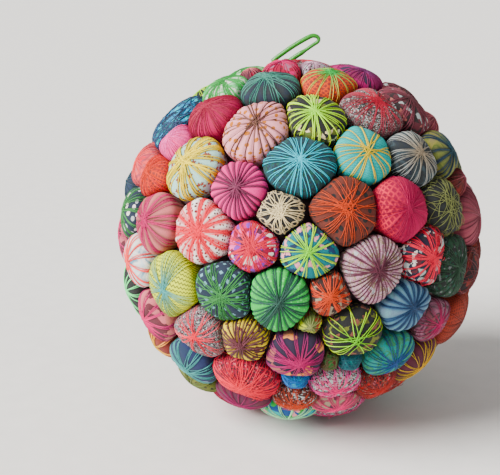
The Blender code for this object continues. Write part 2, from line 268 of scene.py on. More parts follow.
# How finely a puff and its threads are drawn
Detail = namedtuple("Detail", "rings sides stops corners")
FINE = Detail(BODY_RINGS, 96, THREAD_STOPS, 4)
COARSE = Detail(BODY_RINGS[1::2], 60, THREAD_STOPS[::2], 3)

# The puffs that the front view shows. First line: name, place in the view, width in mm, slot, and the
# cloth's pattern, the pattern's size in mm, its colours from the ground up and, after a plus, that of
# its creases, a darker colour that is partly painted shade. Second line, the winding: its way (star for
# over the pole, net for anywhere), rays round the pole, threads in a ray, thickness in mm, colours at the
# pole and the rim, how deep it presses and how far a crease reaches in mm, then, unless they are the
# usual ones, a spread of angles, how many loose ends stand off, and the share of threads that end before
# the rim. Third line: fans of further threads, each with its middle and half width in degrees and how
# many they are.
PUFFS = """
mint_white 222 79 42 pale_blue batik 5 mint bright_green snow mint
  star 15 6 0.6 green bright_green 1.1 3.2 0.12
turquoise_navy 167 116 52 navy patches 4.5 cyan lake deep_sea cyan sky cyan
  net 44 1 0.65 sea_blue navy 0.6 1.6 0.9
crimson 206 106 44 crimson rays 90 crimson cerise
  star 120 1 0.42 crimson crimson 0.25 0.7 0.16
bubblegum 168 137 31 pink rays 70 bubblegum pink
  star 84 1 0.4 bubblegum bubblegum 0.25 0.7 0.16
coral_mesh 147 170 33 coral net 2.3 ember brick
  star 44 1 0.35 ember coral 0.2 1 0.2
peach 136 160 36 coral batik 6 dusty_pink salmon dull_rose coral
  star 24 1 0.5 salmon dusty_pink 0.3 2
dark_teal 124 180 30 teal plain 5 dark_teal navy
  star 14 1 0.6 teal navy 0.3 2
green_on_navy 122 209 38 navy dots 6.5 dusky snow silver
  star 12 5 0.55 leaf leaf 0.9 2.5 0.12
pink_on_beige 143 220 43 pink batik 8 rosy_clay dusty_pink rosy_clay +umber
  star 14 5 0.55 cerise rose 1.3 3 0.12
salmon_pale 126 262 40 pale_blue batik 7 ice snow pale_blue
  star 13 4 0.6 salmon salmon 1.3 3.5
mint_on_black 126 290 32 black plain 5 black forest
  star 13 3 0.6 fresh_mint fresh_mint 0.6 2.5
magenta_pink 144 321 40 pink patches 8 dusty_pink rosy_clay dusty_pink maroon
  star 14 4 0.6 hot_pink magenta 1.1 3 0.1
yellow_wound 184 159 44 yellow sprigs 5 pale_aqua taupe rust_orange
  star 0 0 1 yellow mustard 0.7 2.5 0.12
  125,10,4 205,14,8 258,8,6 285,5,3 318,10,9 348,5,3 15,10,8 42,12,9 75,9,7 165,6,5
pink_brown 256 120 52 pink dots 5.5 pale_pink tan tan
  star 25 1 0.9 umber dark_umber 1.7 2.8 0.14
magenta_striped 236 187 41 magenta plain 6 orchid orchid +deep_magenta
  star 25 1 1.3 dark_magenta dark_magenta 1.9 2.4 0.06
slate_teal 267 75 46 teal plain 7 dusky charcoal
  star 22 3 0.45 seaweed seaweed 0.8 2.4 0.16 0 0.2
red_pink 282 61 34 crimson patches 3 crimson rose maroon crimson dusty_mauve crimson
  star 24 1 0.6 rose red 0.4 2 0.12
orange_green 331 71 44 coral net 2.6 orange brick
  star 16 3 0.5 bright_green apricot 0.7 2.2 0.12
lime_on_dark 315 111 44 lime patches 3.6 forest moss black forest black olive forest black cream
  star 18 3 0.72 lime pale_lime 0.6 2.2 0.1 0 0.5
magenta_top 365 70 34 magenta patches 8 magenta deep_magenta magenta purple
  star 22 2 0.5 violet magenta 0.5 2 0.12
teal_sky 300 159 53 teal speckle 1.3 teal dark_teal teal bottle
  star 25 2 0.46 sky sky 0.6 2 0.14 0 0.35
red_on_tweed 378 100 46 crimson tweed 0.5 charcoal grey wine silver dull_rose black taupe
  star 14 6 0.4 red dull_rose 0.6 2.2 0.16 0 0.2
dark_red_white 412 99 50 crimson patches 3.2 wine maroon wine rosy_clay wine maroon silver wine
  star 13 6 0.5 maroon dull_rose 0.8 2.5 0.14
turquoise_yellow 368 148 42 turquoise knit 1.6 turquoise deep_turquoise
  star 15 2 0.62 mustard straw 0.9 3 0.14 0 0.15
grey 422 152 42 grey batik 7 charcoal slate charcoal dusky
  star 22 3 0.4 stone silver 1 2.6 0.16
blue_olive 454 150 46 navy batik 9 pear moss pear khaki +navy
  star 17 2 0.75 teal navy 1.3 2.6 0.1
olive_on_black 453 205 40 black plain 5 black charcoal
  star 20 2 0.34 dull_lime dull_lime 0.3 2 0.5 120 0.7
dusty_burgundy 480 215 46 burgundy rays 26 maroon dull_rose rosy_clay
  star 26 1 0.5 dull_rose maroon 0.3 2
pink_mesh 410 208 46 magenta mesh 3 raspberry coral_pink crimson
  star 0 0 0.36 raspberry raspberry 0.3 1.5 0.1
  80,38,16 262,38,16 0,45,10 180,30,6
coral_white 435 258 44 coral patches 3.6 navy dusky purple silver dusky maroon snow charcoal
  star 14 6 0.5 coral_pink coral_pink 0.9 2.6 0.12 40 0.2
dark_green 460 268 44 green patches 1.6 forest dark_green forest dark_green forest bottle forest \
    dark_green forest grey
  star 16 3 0.5 dark_green dark_green 0.7 2.5
maroon 478 270 34 burgundy patches 5 wine brick brown wine
  net 30 1 0.6 brick maroon 0.4 2 0.6
brick 464 322 40 coral net 2 rust_orange rust
  star 14 1 0.5 brick rust_orange 0.3 2
pink_grey 440 325 32 pink batik 6 plum dusty_mauve charcoal dull_rose
  star 16 2 0.5 cerise rosewood 0.6 2.5 0.14
blue_grey 415 309 40 pale_blue batik 10 sea_mist haze sea_mist +steel_blue
  star 0 0 0.7 sea_blue sea_blue 1.6 2.8 0.06
  202,4,4 220,4,4 240,4,4 262,4,4 283,4,4 305,4,4 328,4,4 350,4,4 12,4,4 36,5,5 60,4,4 84,4,4 108,4,4 \
    130,4,4 152,4,4 166,2,2
mauve 380 271 49 burgundy batik 4 mauve dusty_mauve mauve khaki mauve silver
  star 42 1 0.85 rosewood dark_rosewood 1.6 1.9 0.12
brown_orange 348 209 51 brown dots 6.5 brown black black
  star 15 3 0.4 orange clay 0.5 2 0.25 0 0.8
  165,20,10
turquoise_lime 309 253 43 turquoise patches 2.8 lake lake sea_blue lake pale_pink lake navy
  star 15 3 0.58 tuft_lime pale_lime 0.8 2.6 0.12 0 0.25
beige_on_black 279 211 34 black eyelets 13 black beige black
  star 22 2 0.55 cream beige 0.4 1.6 0.3 0 0.85
pink_purple 251 247 38 pink patches 3 lilac rose snow plum bubblegum crimson
  star 15 5 0.55 blush_red blush_red 0.9 2.5 0.16
red_on_dots 196 231 43 crimson dots 2.8 snow black black +coral
  star 12 6 0.6 coral coral 1.4 2.6 0.18
yellow_green_knit 163 290 44 lime knit 2.2 yellow_green olive
  star 0 0 0.6 lagoon yellow_green 0.6 2.2
  88,20,14 60,5,4 140,12,8 172,6,4 200,9,5 238,12,8 275,12,9 305,10,7 338,8,6 352,5,5
green_crossed 219 298 44 green checks 2.7 deep_sea sea_mist dusky
  star 14 5 0.5 leaf green 0.9 2.5 0.2 0 0.3
green_lobed 279 304 50 green dots 2.4 bright_green soft_mint bright_green +bottle
  star 30 1 0.9 bottle bottle 1.6 2.3 0.1
  57,12,6 237,12,6
small_orange 331 298 31 coral patches 2.3 dark_brown brown dark_brown brown dark_brown stone brown
  star 16 4 0.42 orange ember 0.7 2.2 0.2 0 0.5
lime_on_black 356 342 42 black patches 2.4 black forest black black olive black taupe black forest
  star 11 2 0.62 tuft_lime pale_lime 0.5 2.2 0.3 0 0.3
coral_on_tweed 194 338 39 grey tweed 0.55 black grey wine grey dull_rose charcoal dusty_mauve silver
  star 11 4 0.5 coral dusty_pink 0.7 2.2 0.22 0 0.4
maroon_on_yellow 239 346 35 yellow patches 2.6 straw straw mustard brown +brown
  star 38 1 0.95 maroon dark_brown 1.2 2 0.16
purple_magenta 299 366 44 purple patches 8 purple purple purple purple rosy_clay rosy_clay purple \
    purple purple peach purple purple
  star 0 0 0.55 violet_pink violet 0.7 2.5 0.14
  45,8,7 75,4,4 95,4,4 125,5,7 150,5,7 172,5,7 195,6,7 225,6,5 262,6,5 295,6,5 330,8,6 0,8,6 20,4,4
aqua_on_blue 186 372 40 navy patches 7 dark_blue navy dark_blue navy haze
  star 15 4 0.5 lagoon lagoon 0.8 2.6 0.14
coral_wound 244 391 48 coral speckle 1.2 crimson maroon crimson crimson dusty_pink dark_brown crimson \
    maroon
  star 40 3 0.5 coral blush_red 0.4 1.6 0.3 40 0.3
rust 153 349 28 brown plain 5 rust brick
  star 10 3 0.8 gold peach 0.8 2.5
teal_blue 396 364 39 teal batik 6 teal_green leaf deep_turquoise teal_green leaf deep_turquoise
  star 17 3 0.5 blue sea_blue 0.9 2.6 0.14
gold_on_burgundy 421 369 37 burgundy plain 6 rosewood burgundy
  star 14 3 0.37 gold straw 0.7 2.6 0.2 0 0.3
pink_white 338 392 36 pink tweed 0.9 silver black silver plum silver dusty_pink grey
  star 15 3 0.42 pink bubblegum 0.5 2 0.25 60 0.4
red_orange 380 392 34 coral speckle 1.2 brick maroon wine brick stone scarlet dusty_pink maroon
  star 26 3 0.42 vermilion brick 0.4 1.6 0.3 60 0.3
"""
# Small puffs that fill the gaps between them, in one with the ball in the model
SMALL_PUFFS = """
plum 249 69 18 purple patches 4 plum crimson burgundy
  star 16 1 0.6 dusty_pink plum 0.5 1.5
mauve_ridge 313 62 24 grey tweed 1.2 black silver mauve
  star 16 1 0.6 mauve plum 0.5 1.5
coral_edge 434 117 22 coral plain 3 dull_rose maroon
  star 18 1 0.6 dull_rose rosy_clay 0.5 1.5
brick_edge 465 177 24 coral plain 3 brick wine
  star 18 1 0.6 dull_rose brick 0.5 1.5
lime_bead 311 328 15 lime patches 4 yellow_green rust_orange moss
  star 16 1 0.6 dull_lime moss 0.6 1.5
olive_under 190 386 34 green dots 4 olive moss black
  star 14 3 0.55 moss olive 0.6 2.5
magenta_under 240 406 42 magenta batik 9 deep_magenta plum maroon
  star 15 3 0.55 magenta deep_magenta 0.6 2.5
shaggy_blue 296 386 18 turquoise speckle 2 bright_blue blue sky
  net 40 1 0.45 bright_blue blue 0.3 1.5 0.8 30
shaggy_orange 295 407 34 coral tweed 1 black brown dark_brown brown silver
  star 18 3 0.36 orange rust_orange 0.3 1.5 0.4 60 0.4
mint_under 287 419 42 turquoise patches 6 turquoise blue bright_green pale_pink turquoise
  star 13 4 0.55 mint mint 0.7 2.5
pink_under 337 410 38 pink patches 4 dusty_pink dull_rose plum dusty_pink dull_rose stone
  star 13 4 0.55 pink dull_rose 0.7 2.5
green_bead 332 367 15 green speckle 2.5 green brown leaf
  net 24 1 0.6 leaf brown 0.3 1.5 0.7
teal_bead 351 367 17 teal speckle 2 lake sea_blue turquoise
  net 36 1 0.6 lake teal 0.3 1.5 0.8
"""

# Looks that the puffs of the back and underside share with those in front
BACK_LOOKS = [
    "pink_brown", "teal_sky", "crimson", "red_on_tweed", "turquoise_yellow", "yellow_wound", "green_lobed",
    "coral_white", "purple_magenta", "orange_green", "mint_white", "lime_on_dark", "brown_orange",
    "green_crossed", "blue_grey", "magenta_striped", "red_on_dots", "grey", "aqua_on_blue", "pink_on_beige",
    "turquoise_lime", "gold_on_burgundy",
]
BACK_SEED = 5
# Looks of the puffs that only show past the ball's edge, with where they lie in the front view
EDGE_LOOKS = [
    (240, 63, "mint_white"), (251, 72, "plum"), (301, 54, "red_on_tweed"), (306, 68, "maroon"),
    (199, 87, "lime_on_dark"), (160, 121, "turquoise_navy"), (177, 121, "turquoise_navy"),
    (143, 149, "peach"), (137, 167, "peach"), (117, 231, "magenta_pink"), (131, 207, "green_on_navy"),
    (131, 254, "salmon_pale"), (130, 296, "mint_on_black"), (159, 342, "rust"), (173, 360, "aqua_on_blue"),
    (191, 375, "olive_under"), (233, 404, "crimson"), (248, 390, "coral_wound"), (281, 413, "mint_under"),
    (338, 414, "pink_white"), (355, 397, "red_orange"), (397, 390, "red_orange"), (397, 368, "teal_blue"),
    (437, 351, "gold_on_burgundy"), (434, 327, "gold_on_burgundy"), (464, 298, "brick"),
    (479, 253, "maroon"), (468, 248, "dark_green"), (475, 202, "dusty_burgundy"), (453, 190, "brick_edge"),
    (460, 150, "blue_olive"), (438, 141, "grey"), (431, 120, "dark_red_white"), (408, 90, "dark_red_white"),
    (398, 100, "red_on_tweed"), (358, 68, "magenta_top"),
]
BASE_LOOK = "dusty_burgundy"
# Hidden puffs that lie lower than their width asks for: where, and how much lower
EDGE_SUNK = [
    (301, 54, 0.0035), (240, 63, 0.003), (199, 87, 0.0025), (460, 150, 0.003), (437, 351, 0.003),
    (397, 390, 0.003),
]
# Two hidden puffs whose poles are nearer than this (cosine) have different looks
NEAR_LOOK = 0.85
# Hidden puffs that may show past the edge face the front view by at least this (cosine)
EDGE_FACING = -0.34

CARRIER_STEPS = (48, 96)
CARRIER_DIP = 0.0003
CORD_STEPS = 110
CORD_SIDES = 12
FLOOR_HALF = 15.0
FLOOR_ROUGHNESS = 0.6
CARRIER_ROUGHNESS = 0.95
STUDIO_STRENGTH = 0.5
# Lights: where they come from, how wide they are seen, strength and colour
KEY_LIGHT = ((-2.65, -1.1, 2.0), math.radians(40.0), 9.3, (1.0, 0.98, 0.95))
FILL_LIGHT = ((1.0, -2.4, 0.8), math.radians(60.0), 0.2, (0.95, 0.97, 1.0))


class Puff:
    """One puff: its pole's direction, its width, its look and the axes of its disc."""

    def __init__(self, name, pole, width, row=None):
        self.name = name
        self.pole = pole
        self.width = width
        self.row = row
        self.spread = 0.5 * width / BALL_RADIUS
        self.crown = crown_radius(width)
        self.scale = MM_PER_M * DISC_SCALE * 0.5 * width
        self.seed = 0
        self.look = None

    def settle(self, others):
        """Set the disc's axes and the puff's edge all round, once every puff has its place."""
        right = VIEW_RIGHT - self.pole * self.pole.dot(VIEW_RIGHT)
        self.first = unit(right)
        self.second = np.cross(self.pole, self.first)
        self.edge_angles = np.arange(EDGE_STEPS) * TURN / EDGE_STEPS
        self.edge_limits = edge_limits(self, others)

    def rays(self, turn):
        """Directions across the puff's disc at angles round its pole."""
        return np.cos(turn)[:, None] * self.first + np.sin(turn)[:, None] * self.second


def crown_radius(width):
    """Height of a puff's pole above the ball's centre."""
    return BALL_RADIUS - max(0.0, FULL_WIDTH - width) * RECESS_PER_WIDTH


def unit(vector):
    return vector / np.linalg.norm(vector)


def units(vectors):
    return vectors / np.linalg.norm(vectors, axis=1)[:, None]


def view_eye():
    """Where the front view is taken from, from the ball's centre."""
    ball_right = (BALL_IN_VIEW[0] - VIEW_MIDDLE[0]) / VIEW_FOCAL
    ball_up = (VIEW_MIDDLE[1] - BALL_IN_VIEW[1]) / VIEW_FOCAL
    return -VIEW_DEPTH * (VIEW_AHEAD + ball_right * VIEW_RIGHT + ball_up * VIEW_UP)


def pole_in_view(view_x, view_y, radius):
    """Direction from the ball's centre to the spot at a radius that the front view shows at a pixel."""
    eye = view_eye()
    ray = unit(
        VIEW_AHEAD
        + VIEW_RIGHT * (view_x - VIEW_MIDDLE[0]) / VIEW_FOCAL
        + VIEW_UP * (VIEW_MIDDLE[1] - view_y) / VIEW_FOCAL
    )
    nearest = -eye.dot(ray)
    miss = np.linalg.norm(eye + nearest * ray)
    reach = math.sqrt(max(0.0, radius ** 2 - miss ** 2))
    return unit(eye + (nearest - reach) * ray)


def number(word):
    return float(word) if "." in word else int(word)


def read_rows(table):
    """The rows of a table of puffs."""
    rows = []
    for entry in re.split(r"\n(?=\w)", table.strip()):
        first, second, *third = entry.split("\n")
        name, view_x, view_y, width, slot, pattern, size, *colours = first.split()
        crease = colours.pop()[1:] if colours[-1].startswith("+") else None
        cloth = Cloth(pattern, number(size), colours, crease)
        way, rays, bundle, thick, pole_colour, rim_colour, *measures = second.split()
        fans = [tuple(map(int, fan.split(","))) for fan in " ".join(third).split()]
        numbers = (number(measure) for measure in measures)
        threads = (way, int(rays), int(bundle), number(thick))
        wind = Wind(*threads, pole_colour, rim_colour, *numbers, fans=fans)
        rows.append(Row(name, number(view_x), number(view_y), number(width), slot, cloth, wind))
    return rows


def puff_in_view(row):
    width = row.width_mm / MM_PER_M
    return Puff(row.name, pole_in_view(row.view_x, row.view_y, crown_radius(width)), width, row)


def even_directions(count):
    """Directions spread evenly over a sphere along a spiral."""
    golden_turn = math.pi * (3.0 - math.sqrt(5.0))
    steps = np.arange(count) + 0.5
    heights = 1.0 - 2.0 * steps / count
    rims = np.sqrt(1.0 - heights ** 2)
    turns = golden_turn * steps
    return np.stack([rims * np.cos(turns), rims * np.sin(turns), heights], axis=1)


def angle_between(first, second):
    return math.acos(max(-1.0, min(1.0, first.dot(second))))


def clearance(direction, puffs):
    """Angle from a direction to the edge of the nearest puff."""
    return min(angle_between(direction, puff.pole) - puff.spread for puff in puffs)


def hidden_start(fixed):
    """First places of the hidden puffs: even directions that lie clear of the fixed puffs."""
    chance = random.Random(HIDDEN_SEED)
    candidates = even_directions(PROBE_COUNT)
    order = list(range(PROBE_COUNT))
    chance.shuffle(order)
    hidden = []
    needed = 0.5 * HIDDEN_WIDTH[0] / BALL_RADIUS
    for share in START_SHARES:
        for index in order:
            if len(hidden) == HIDDEN_COUNT:
                return hidden
            direction = candidates[index]
            if direction.dot(-VIEW_AHEAD) > VIEW_EDGE:
                continue
            if clearance(direction, fixed + hidden) > share * needed:
                width = chance.uniform(*HIDDEN_WIDTH)
                hidden.append(Puff("hidden_%02d" % len(hidden), direction, width))
    return hidden


def spread_hidden(hidden, fixed):
    """Push the hidden puffs apart until they lie side by side."""
    puffs = hidden + fixed
    poles = np.array([p.pole for p in puffs])
    spreads = np.array([p.spread for p in puffs])
    wanted = spreads[:, None] + spreads[None, :]
    free = len(hidden)
    for _ in range(SPREAD_ROUNDS):
        across = poles[:free, None, :] - poles[None, :, :]
        apart = np.linalg.norm(across, axis=2)
        overlap = np.clip(wanted[:free] - apart, 0.0, None)
        overlap[np.arange(free), np.arange(free)] = 0.0
        away = across / np.maximum(apart, SMALLEST)[:, :, None]
        poles[:free] += PUSH_SHARE * (away * overlap[:, :, None]).sum(axis=1)
        poles[:free] = units(poles[:free])
    for puff, pole in zip(hidden, poles):
        puff.pole = pole


def fill_gaps(puffs):
    """Small puffs in the widest gaps that the front view doesn't show."""
    fillers = []
    probes = even_directions(PROBE_COUNT)
    probes = probes[probes.dot(-VIEW_AHEAD) < VIEW_EDGE]
    while len(fillers) < FILLER_COUNT:
        gaps = [clearance(probe, puffs + fillers) for probe in probes]
        widest = int(np.argmax(gaps))
        width = 2.0 * gaps[widest] * BALL_RADIUS * FILLER_GROWTH
        if width < FILLER_WIDTH[0]:
            break
        width = min(width, FILLER_WIDTH[1])
        fillers.append(Puff("filler_%02d" % len(fillers), probes[widest], width))
    return fillers


def loop_root():
    """The gap in which the cord loop stands, held open like a puff's place."""
    pole = np.array([
        -math.sin(LOOP_ROOT_LEFT),
        math.sin(LOOP_ROOT_BACK),
        math.cos(LOOP_ROOT_BACK),
    ])
    return Puff("loop_root", unit(pole), LOOP_ROOT_WIDTH)


def plan_puffs():
    """All puffs, each settled among its neighbours: those in view, the small ones, the base, the hidden."""
    front = [puff_in_view(row) for row in read_rows(PUFFS)]
    small = [puff_in_view(row) for row in read_rows(SMALL_PUFFS)]
    base = Puff("base", np.array([0.0, 0.0, -1.0]), BASE_WIDTH)
    root = loop_root()
    fixed = front + small + [base, root]
    hidden = hidden_start(fixed)
    spread_hidden(hidden, fixed)
    hidden += fill_gaps(fixed + hidden)
    spread_hidden(hidden, fixed)
    everyone = fixed + hidden
    for place, puff in enumerate(everyone):
        puff.seed = place
        puff.settle(everyone)
    return front, small, base, hidden


def edge_limits(puff, others):
    """Half width of a puff, as an angle, all round its pole.

    Its own round form and the plane that parts it from each neighbour all hold it in, and a soft
    minimum of them rounds its corners.
    """
    rays = puff.rays(puff.edge_angles)
    inverse = np.full(EDGE_STEPS, (puff.spread * SQUEEZE) ** -CORNER_SHARPNESS)
    for other in others:
        apart = angle_between(puff.pole, other.pole)
        if other is puff or apart > SQUEEZE * (puff.spread + other.spread) + NEIGHBOUR_REACH:
            continue
        towards = unit(other.pole - puff.pole * puff.pole.dot(other.pole))
        split = apart * puff.spread / (puff.spread + other.spread)
        along = math.cos(split) * rays.dot(towards)
        level = math.sin(split)
        slack = np.arcsin(SIDE_GAP / (CORE_RADIUS * np.hypot(along, level)))
        inverse += (np.arctan2(level, along) - slack) ** -CORNER_SHARPNESS
    return PRESSED * inverse ** (-1.0 / CORNER_SHARPNESS)


def section(t):
    """Reach and height of a puff's outer face at distance t, as shares of its half width and height."""
    bend = np.minimum(t, 1.0) * 0.5 * math.pi
    size = (np.sin(bend) ** FULLNESS + np.cos(bend) ** FULLNESS) ** (-1.0 / FULLNESS)
    below = np.maximum(t - 1.0, 0.0)
    reach = size * np.sin(bend) - DRAW_IN * below ** 2
    rise = WIDEST + (1.0 - WIDEST) * size * np.cos(bend) - WIDEST * below / (FOOT - 1.0)
    return reach, rise


def face_points(puff, t, turn):
    """Points of a puff's smooth outer face."""
    limit = np.interp(turn % TURN, puff.edge_angles, puff.edge_limits, period=TURN)
    reach, rise = section(t)
    angle = reach * limit
    direction = np.cos(angle)[:, None] * puff.pole + np.sin(angle)[:, None] * puff.rays(turn)
    foot = CORE_RADIUS + SEAT_GAP
    return CENTRE + (foot + rise * (puff.crown - foot))[:, None] * direction


def press_share(t):
    """Share of its press that a thread has at distance t: all of it up to the puff's widest line."""
    return np.interp(t, (0.0, 1.0, FOOT), (1.0, 1.0, FOOT_PRESS))


def raised_points(puff, t, turn, height_mm):
    """Points at a height over a puff's outer face, along its normal, and those normals."""
    step = DISC_STEP
    safe = np.maximum(t, 2.0 * step)
    out = face_points(puff, safe + step, turn) - face_points(puff, safe - step, turn)
    round_way = face_points(puff, safe, turn + step) - face_points(puff, safe, turn - step)
    normals = units(np.cross(out, round_way))
    near = np.clip(1.0 - t / POLE_CAP, 0.0, 1.0)[:, None]
    normals = units(normals * (1.0 - near) + puff.pole * near)
    points = face_points(puff, t, turn) + normals * (height_mm / MM_PER_M)[:, None]
    points[:, 2] = np.maximum(points[:, 2], FLOOR_GAP)
    return points, normals


def plan_strands(wind, scale, chance):
    """Each thread's two angles at the rim and whether it passes over the pole."""
    strands = []
    if wind.way == "net":
        for _ in range(wind.rays):
            start = chance.uniform(0.0, TURN)
            strands.append((start, start + math.pi + chance.gauss(0.0, wind.loose), False))
        return strands
    angles = []
    wander = THREAD_WANDER * wind.loose
    for middle, spread, count in wind.fans:
        for place in range(count):
            share = 2.0 * (place + 0.5) / count - 1.0
            angles.append(math.radians(middle + spread * share) + chance.gauss(0.0, wander))
    gap = BUNDLE_SPACING * wind.thick / scale
    for ray in range(wind.rays):
        middle = TURN * (ray + chance.uniform(-RAY_WANDER, RAY_WANDER)) / wind.rays
        spread = gap * chance.uniform(*BUNDLE_SPREAD)
        for place in range(wind.bundle):
            side = place - 0.5 * (wind.bundle - 1)
            angles.append(middle + spread * side + chance.gauss(0.0, wander))
    angles = sorted(angle % TURN for angle in angles)
    half = len(angles) // 2
    return [(angles[place], angles[place + half], True) for place in range(half)]


def soft_positive(values):
    """Zero for negative values and the value for positive ones, with a soft bend between."""
    return POLE_BEND * np.logaddexp(0.0, values / POLE_BEND)


def strand_on_disc(strand, half_stops, chance, wind):
    """A thread's points on its puff's disc, from rim to rim or to where it goes into the cloth."""
    start, end, over_pole = strand
    loose = wind.loose
    stops = np.array([-stop for stop in reversed(half_stops[1:])] + list(half_stops))
    rim = half_stops[-1]
    bend = (np.abs(stops) / rim - BEND_STILL) * loose
    start = start + bend * chance.gauss(0.0, STRAND_BEND)
    end = end + bend * chance.gauss(0.0, STRAND_BEND)
    towards_start = np.stack([np.cos(start), np.sin(start)], axis=1)
    towards_end = np.stack([np.cos(end), np.sin(end)], axis=1)
    if not over_pole:
        share = (0.5 + 0.5 * stops / rim)[:, None]
        return rim * ((1.0 - share) * towards_start + share * towards_end)
    shift = np.array([chance.gauss(0.0, loose), chance.gauss(0.0, loose)]) * POLE_WANDER
    fade = np.exp(-(stops / POLE_REACH) ** 2)[:, None]
    for side in (stops < 0.0, stops > 0.0):
        if chance.random() < wind.short:
            stops[side] *= chance.uniform(*SHORT_REACH) / rim
    points = soft_positive(-stops)[:, None] * towards_start + soft_positive(stops)[:, None] * towards_end
    return points + fade * shift


def crease_share(strands, u, v, scale, reach):
    """How near each disc point lies to a thread: 1 on it, 0 where the cloth stands free."""
    nearest = np.full(u.shape, np.inf)
    t = np.hypot(u, v)
    turn = np.arctan2(v, u)
    for start, end, over_pole in strands:
        if over_pole:
            for angle in (start, end):
                off = np.abs((turn - angle + math.pi) % TURN - math.pi)
                away = np.where(off < 0.5 * math.pi, t * np.sin(off), t)
                nearest = np.minimum(nearest, away)
        else:
            along = unit(np.array([math.cos(end) - math.cos(start), math.sin(end) - math.sin(start)]))
            across = (u - math.cos(start) * THREAD_STOPS[-1]) * along[1]
            across -= (v - math.sin(start) * THREAD_STOPS[-1]) * along[0]
            nearest = np.minimum(nearest, np.abs(across))
    rise = np.minimum(nearest * scale / reach, 1.0)
    return 1.0 - rise * (2.0 - rise)


def closed_faces(rings, sides):
    """Faces of a closed skin: a first point, rings of points one after the other and a last point."""
    faces = []
    last = 1 + (rings - 1) * sides
    bottom = last + sides
    for step in range(sides):
        after = (step + 1) % sides
        faces.append((0, 1 + step, 1 + after))
        faces.append((bottom, last + after, last + step))
        for inner in range(1, last, sides):
            outer = inner + sides
            faces.append((inner + step, outer + step, outer + after, inner + after))
    return faces


def cloth_arrays(puff, wind, strands, detail, chance):
    """Points, faces, disc places and crease shares of one puff's cloth."""
    rings = detail.rings
    sides = detail.sides
    if wind.way == "star" and wind.bundle == 1:
        sides = min(MOST_SIDES, max(sides, SIDES_PER_RAY * wind.rays))
    t = np.concatenate([[0.0], np.repeat(rings, sides)])
    turn = np.concatenate([[0.0], np.tile(np.arange(sides) * TURN / sides, len(rings))])
    u = t * np.cos(turn)
    v = t * np.sin(turn)
    crease = crease_share(strands, u, v, puff.scale, wind.reach)
    fade = press_share(t)
    phases = [chance.uniform(0.0, TURN) for _ in range(LUMP_WAVES)]
    lumps = np.zeros_like(t)
    for order, phase in enumerate(phases, start=2):
        lumps += np.sin(order * turn + phase + LUMP_WINDING * t) / order
    lumps = LUMP_MM * (lumps - LUMP_SINK) * np.minimum(1.0, LUMP_GROWTH * t) * (1.0 - crease)
    points, _ = raised_points(puff, t, turn, -wind.press * crease * fade + lumps * fade)
    foot = CENTRE + puff.pole * (CORE_RADIUS + SEAT_GAP)
    foot[2] = max(foot[2], FLOOR_GAP)
    place = np.stack([u * puff.scale, v * puff.scale, np.full_like(u, puff.seed)], axis=1)
    place = np.vstack([place, [0.0, 0.0, puff.seed]])
    return np.vstack([points, foot]), closed_faces(len(rings), sides), place, np.append(crease, 1.0)


def tube_arrays(points, normals, radii, sides):
    """Points, faces, ring directions and lengths of a closed tube along the given points."""
    tangents = units(np.gradient(points, axis=0))
    sideways = units(np.cross(tangents, normals))
    upwards = np.cross(sideways, tangents)
    corners = np.arange(sides) * TURN / sides
    around = np.stack([np.cos(corners), np.sin(corners)], axis=1)
    offsets = around[None, :, :1] * upwards[:, None, :] + around[None, :, 1:] * sideways[:, None, :]
    skin = (points[:, None, :] + offsets * radii[:, None, None]).reshape(-1, 3)
    lengths = np.concatenate([[0.0], np.cumsum(np.linalg.norm(np.diff(points, axis=0), axis=1))])
    count = len(points)
    faces = [tuple(range(sides))[::-1], tuple((count - 1) * sides + corner for corner in range(sides))]
    for ring in range(count - 1):
        for corner in range(sides):
            after = (corner + 1) % sides
            low = ring * sides
            faces.append((low + corner, low + after, low + sides + after, low + sides + corner))
    ways = np.tile(around, (count, 1))
    return skin, faces, ways, np.repeat(MM_PER_M * lengths, sides)


def loose_end(puff, wind, chance):
    """Distances, angles and heights of one short end of thread that stands off its puff."""
    stops = np.array(FRINGE_STOPS)
    start = FRINGE_START * math.sqrt(chance.random())
    t = start + stops * chance.uniform(*FRINGE_LENGTH) / puff.scale
    turn = chance.uniform(0.0, TURN) + stops * chance.gauss(0.0, FRINGE_CURVE)
    rise = chance.uniform(*FRINGE_RISE) * np.sin(stops * chance.uniform(*FRINGE_ARC))
    return t, turn, rise + FRINGE_SEAT * wind.thick - FRINGE_SINK


def joined(parts):
    """One set of arrays from several, with the faces renumbered."""
    faces = []
    total = 0
    for part in parts:
        faces += [tuple(total + corner for corner in face) for face in part[1]]
        total += len(part[0])
    columns = [np.concatenate([part[column] for part in parts]) for column in (0, 2, 3)]
    return columns[0], faces, columns[1], columns[2]


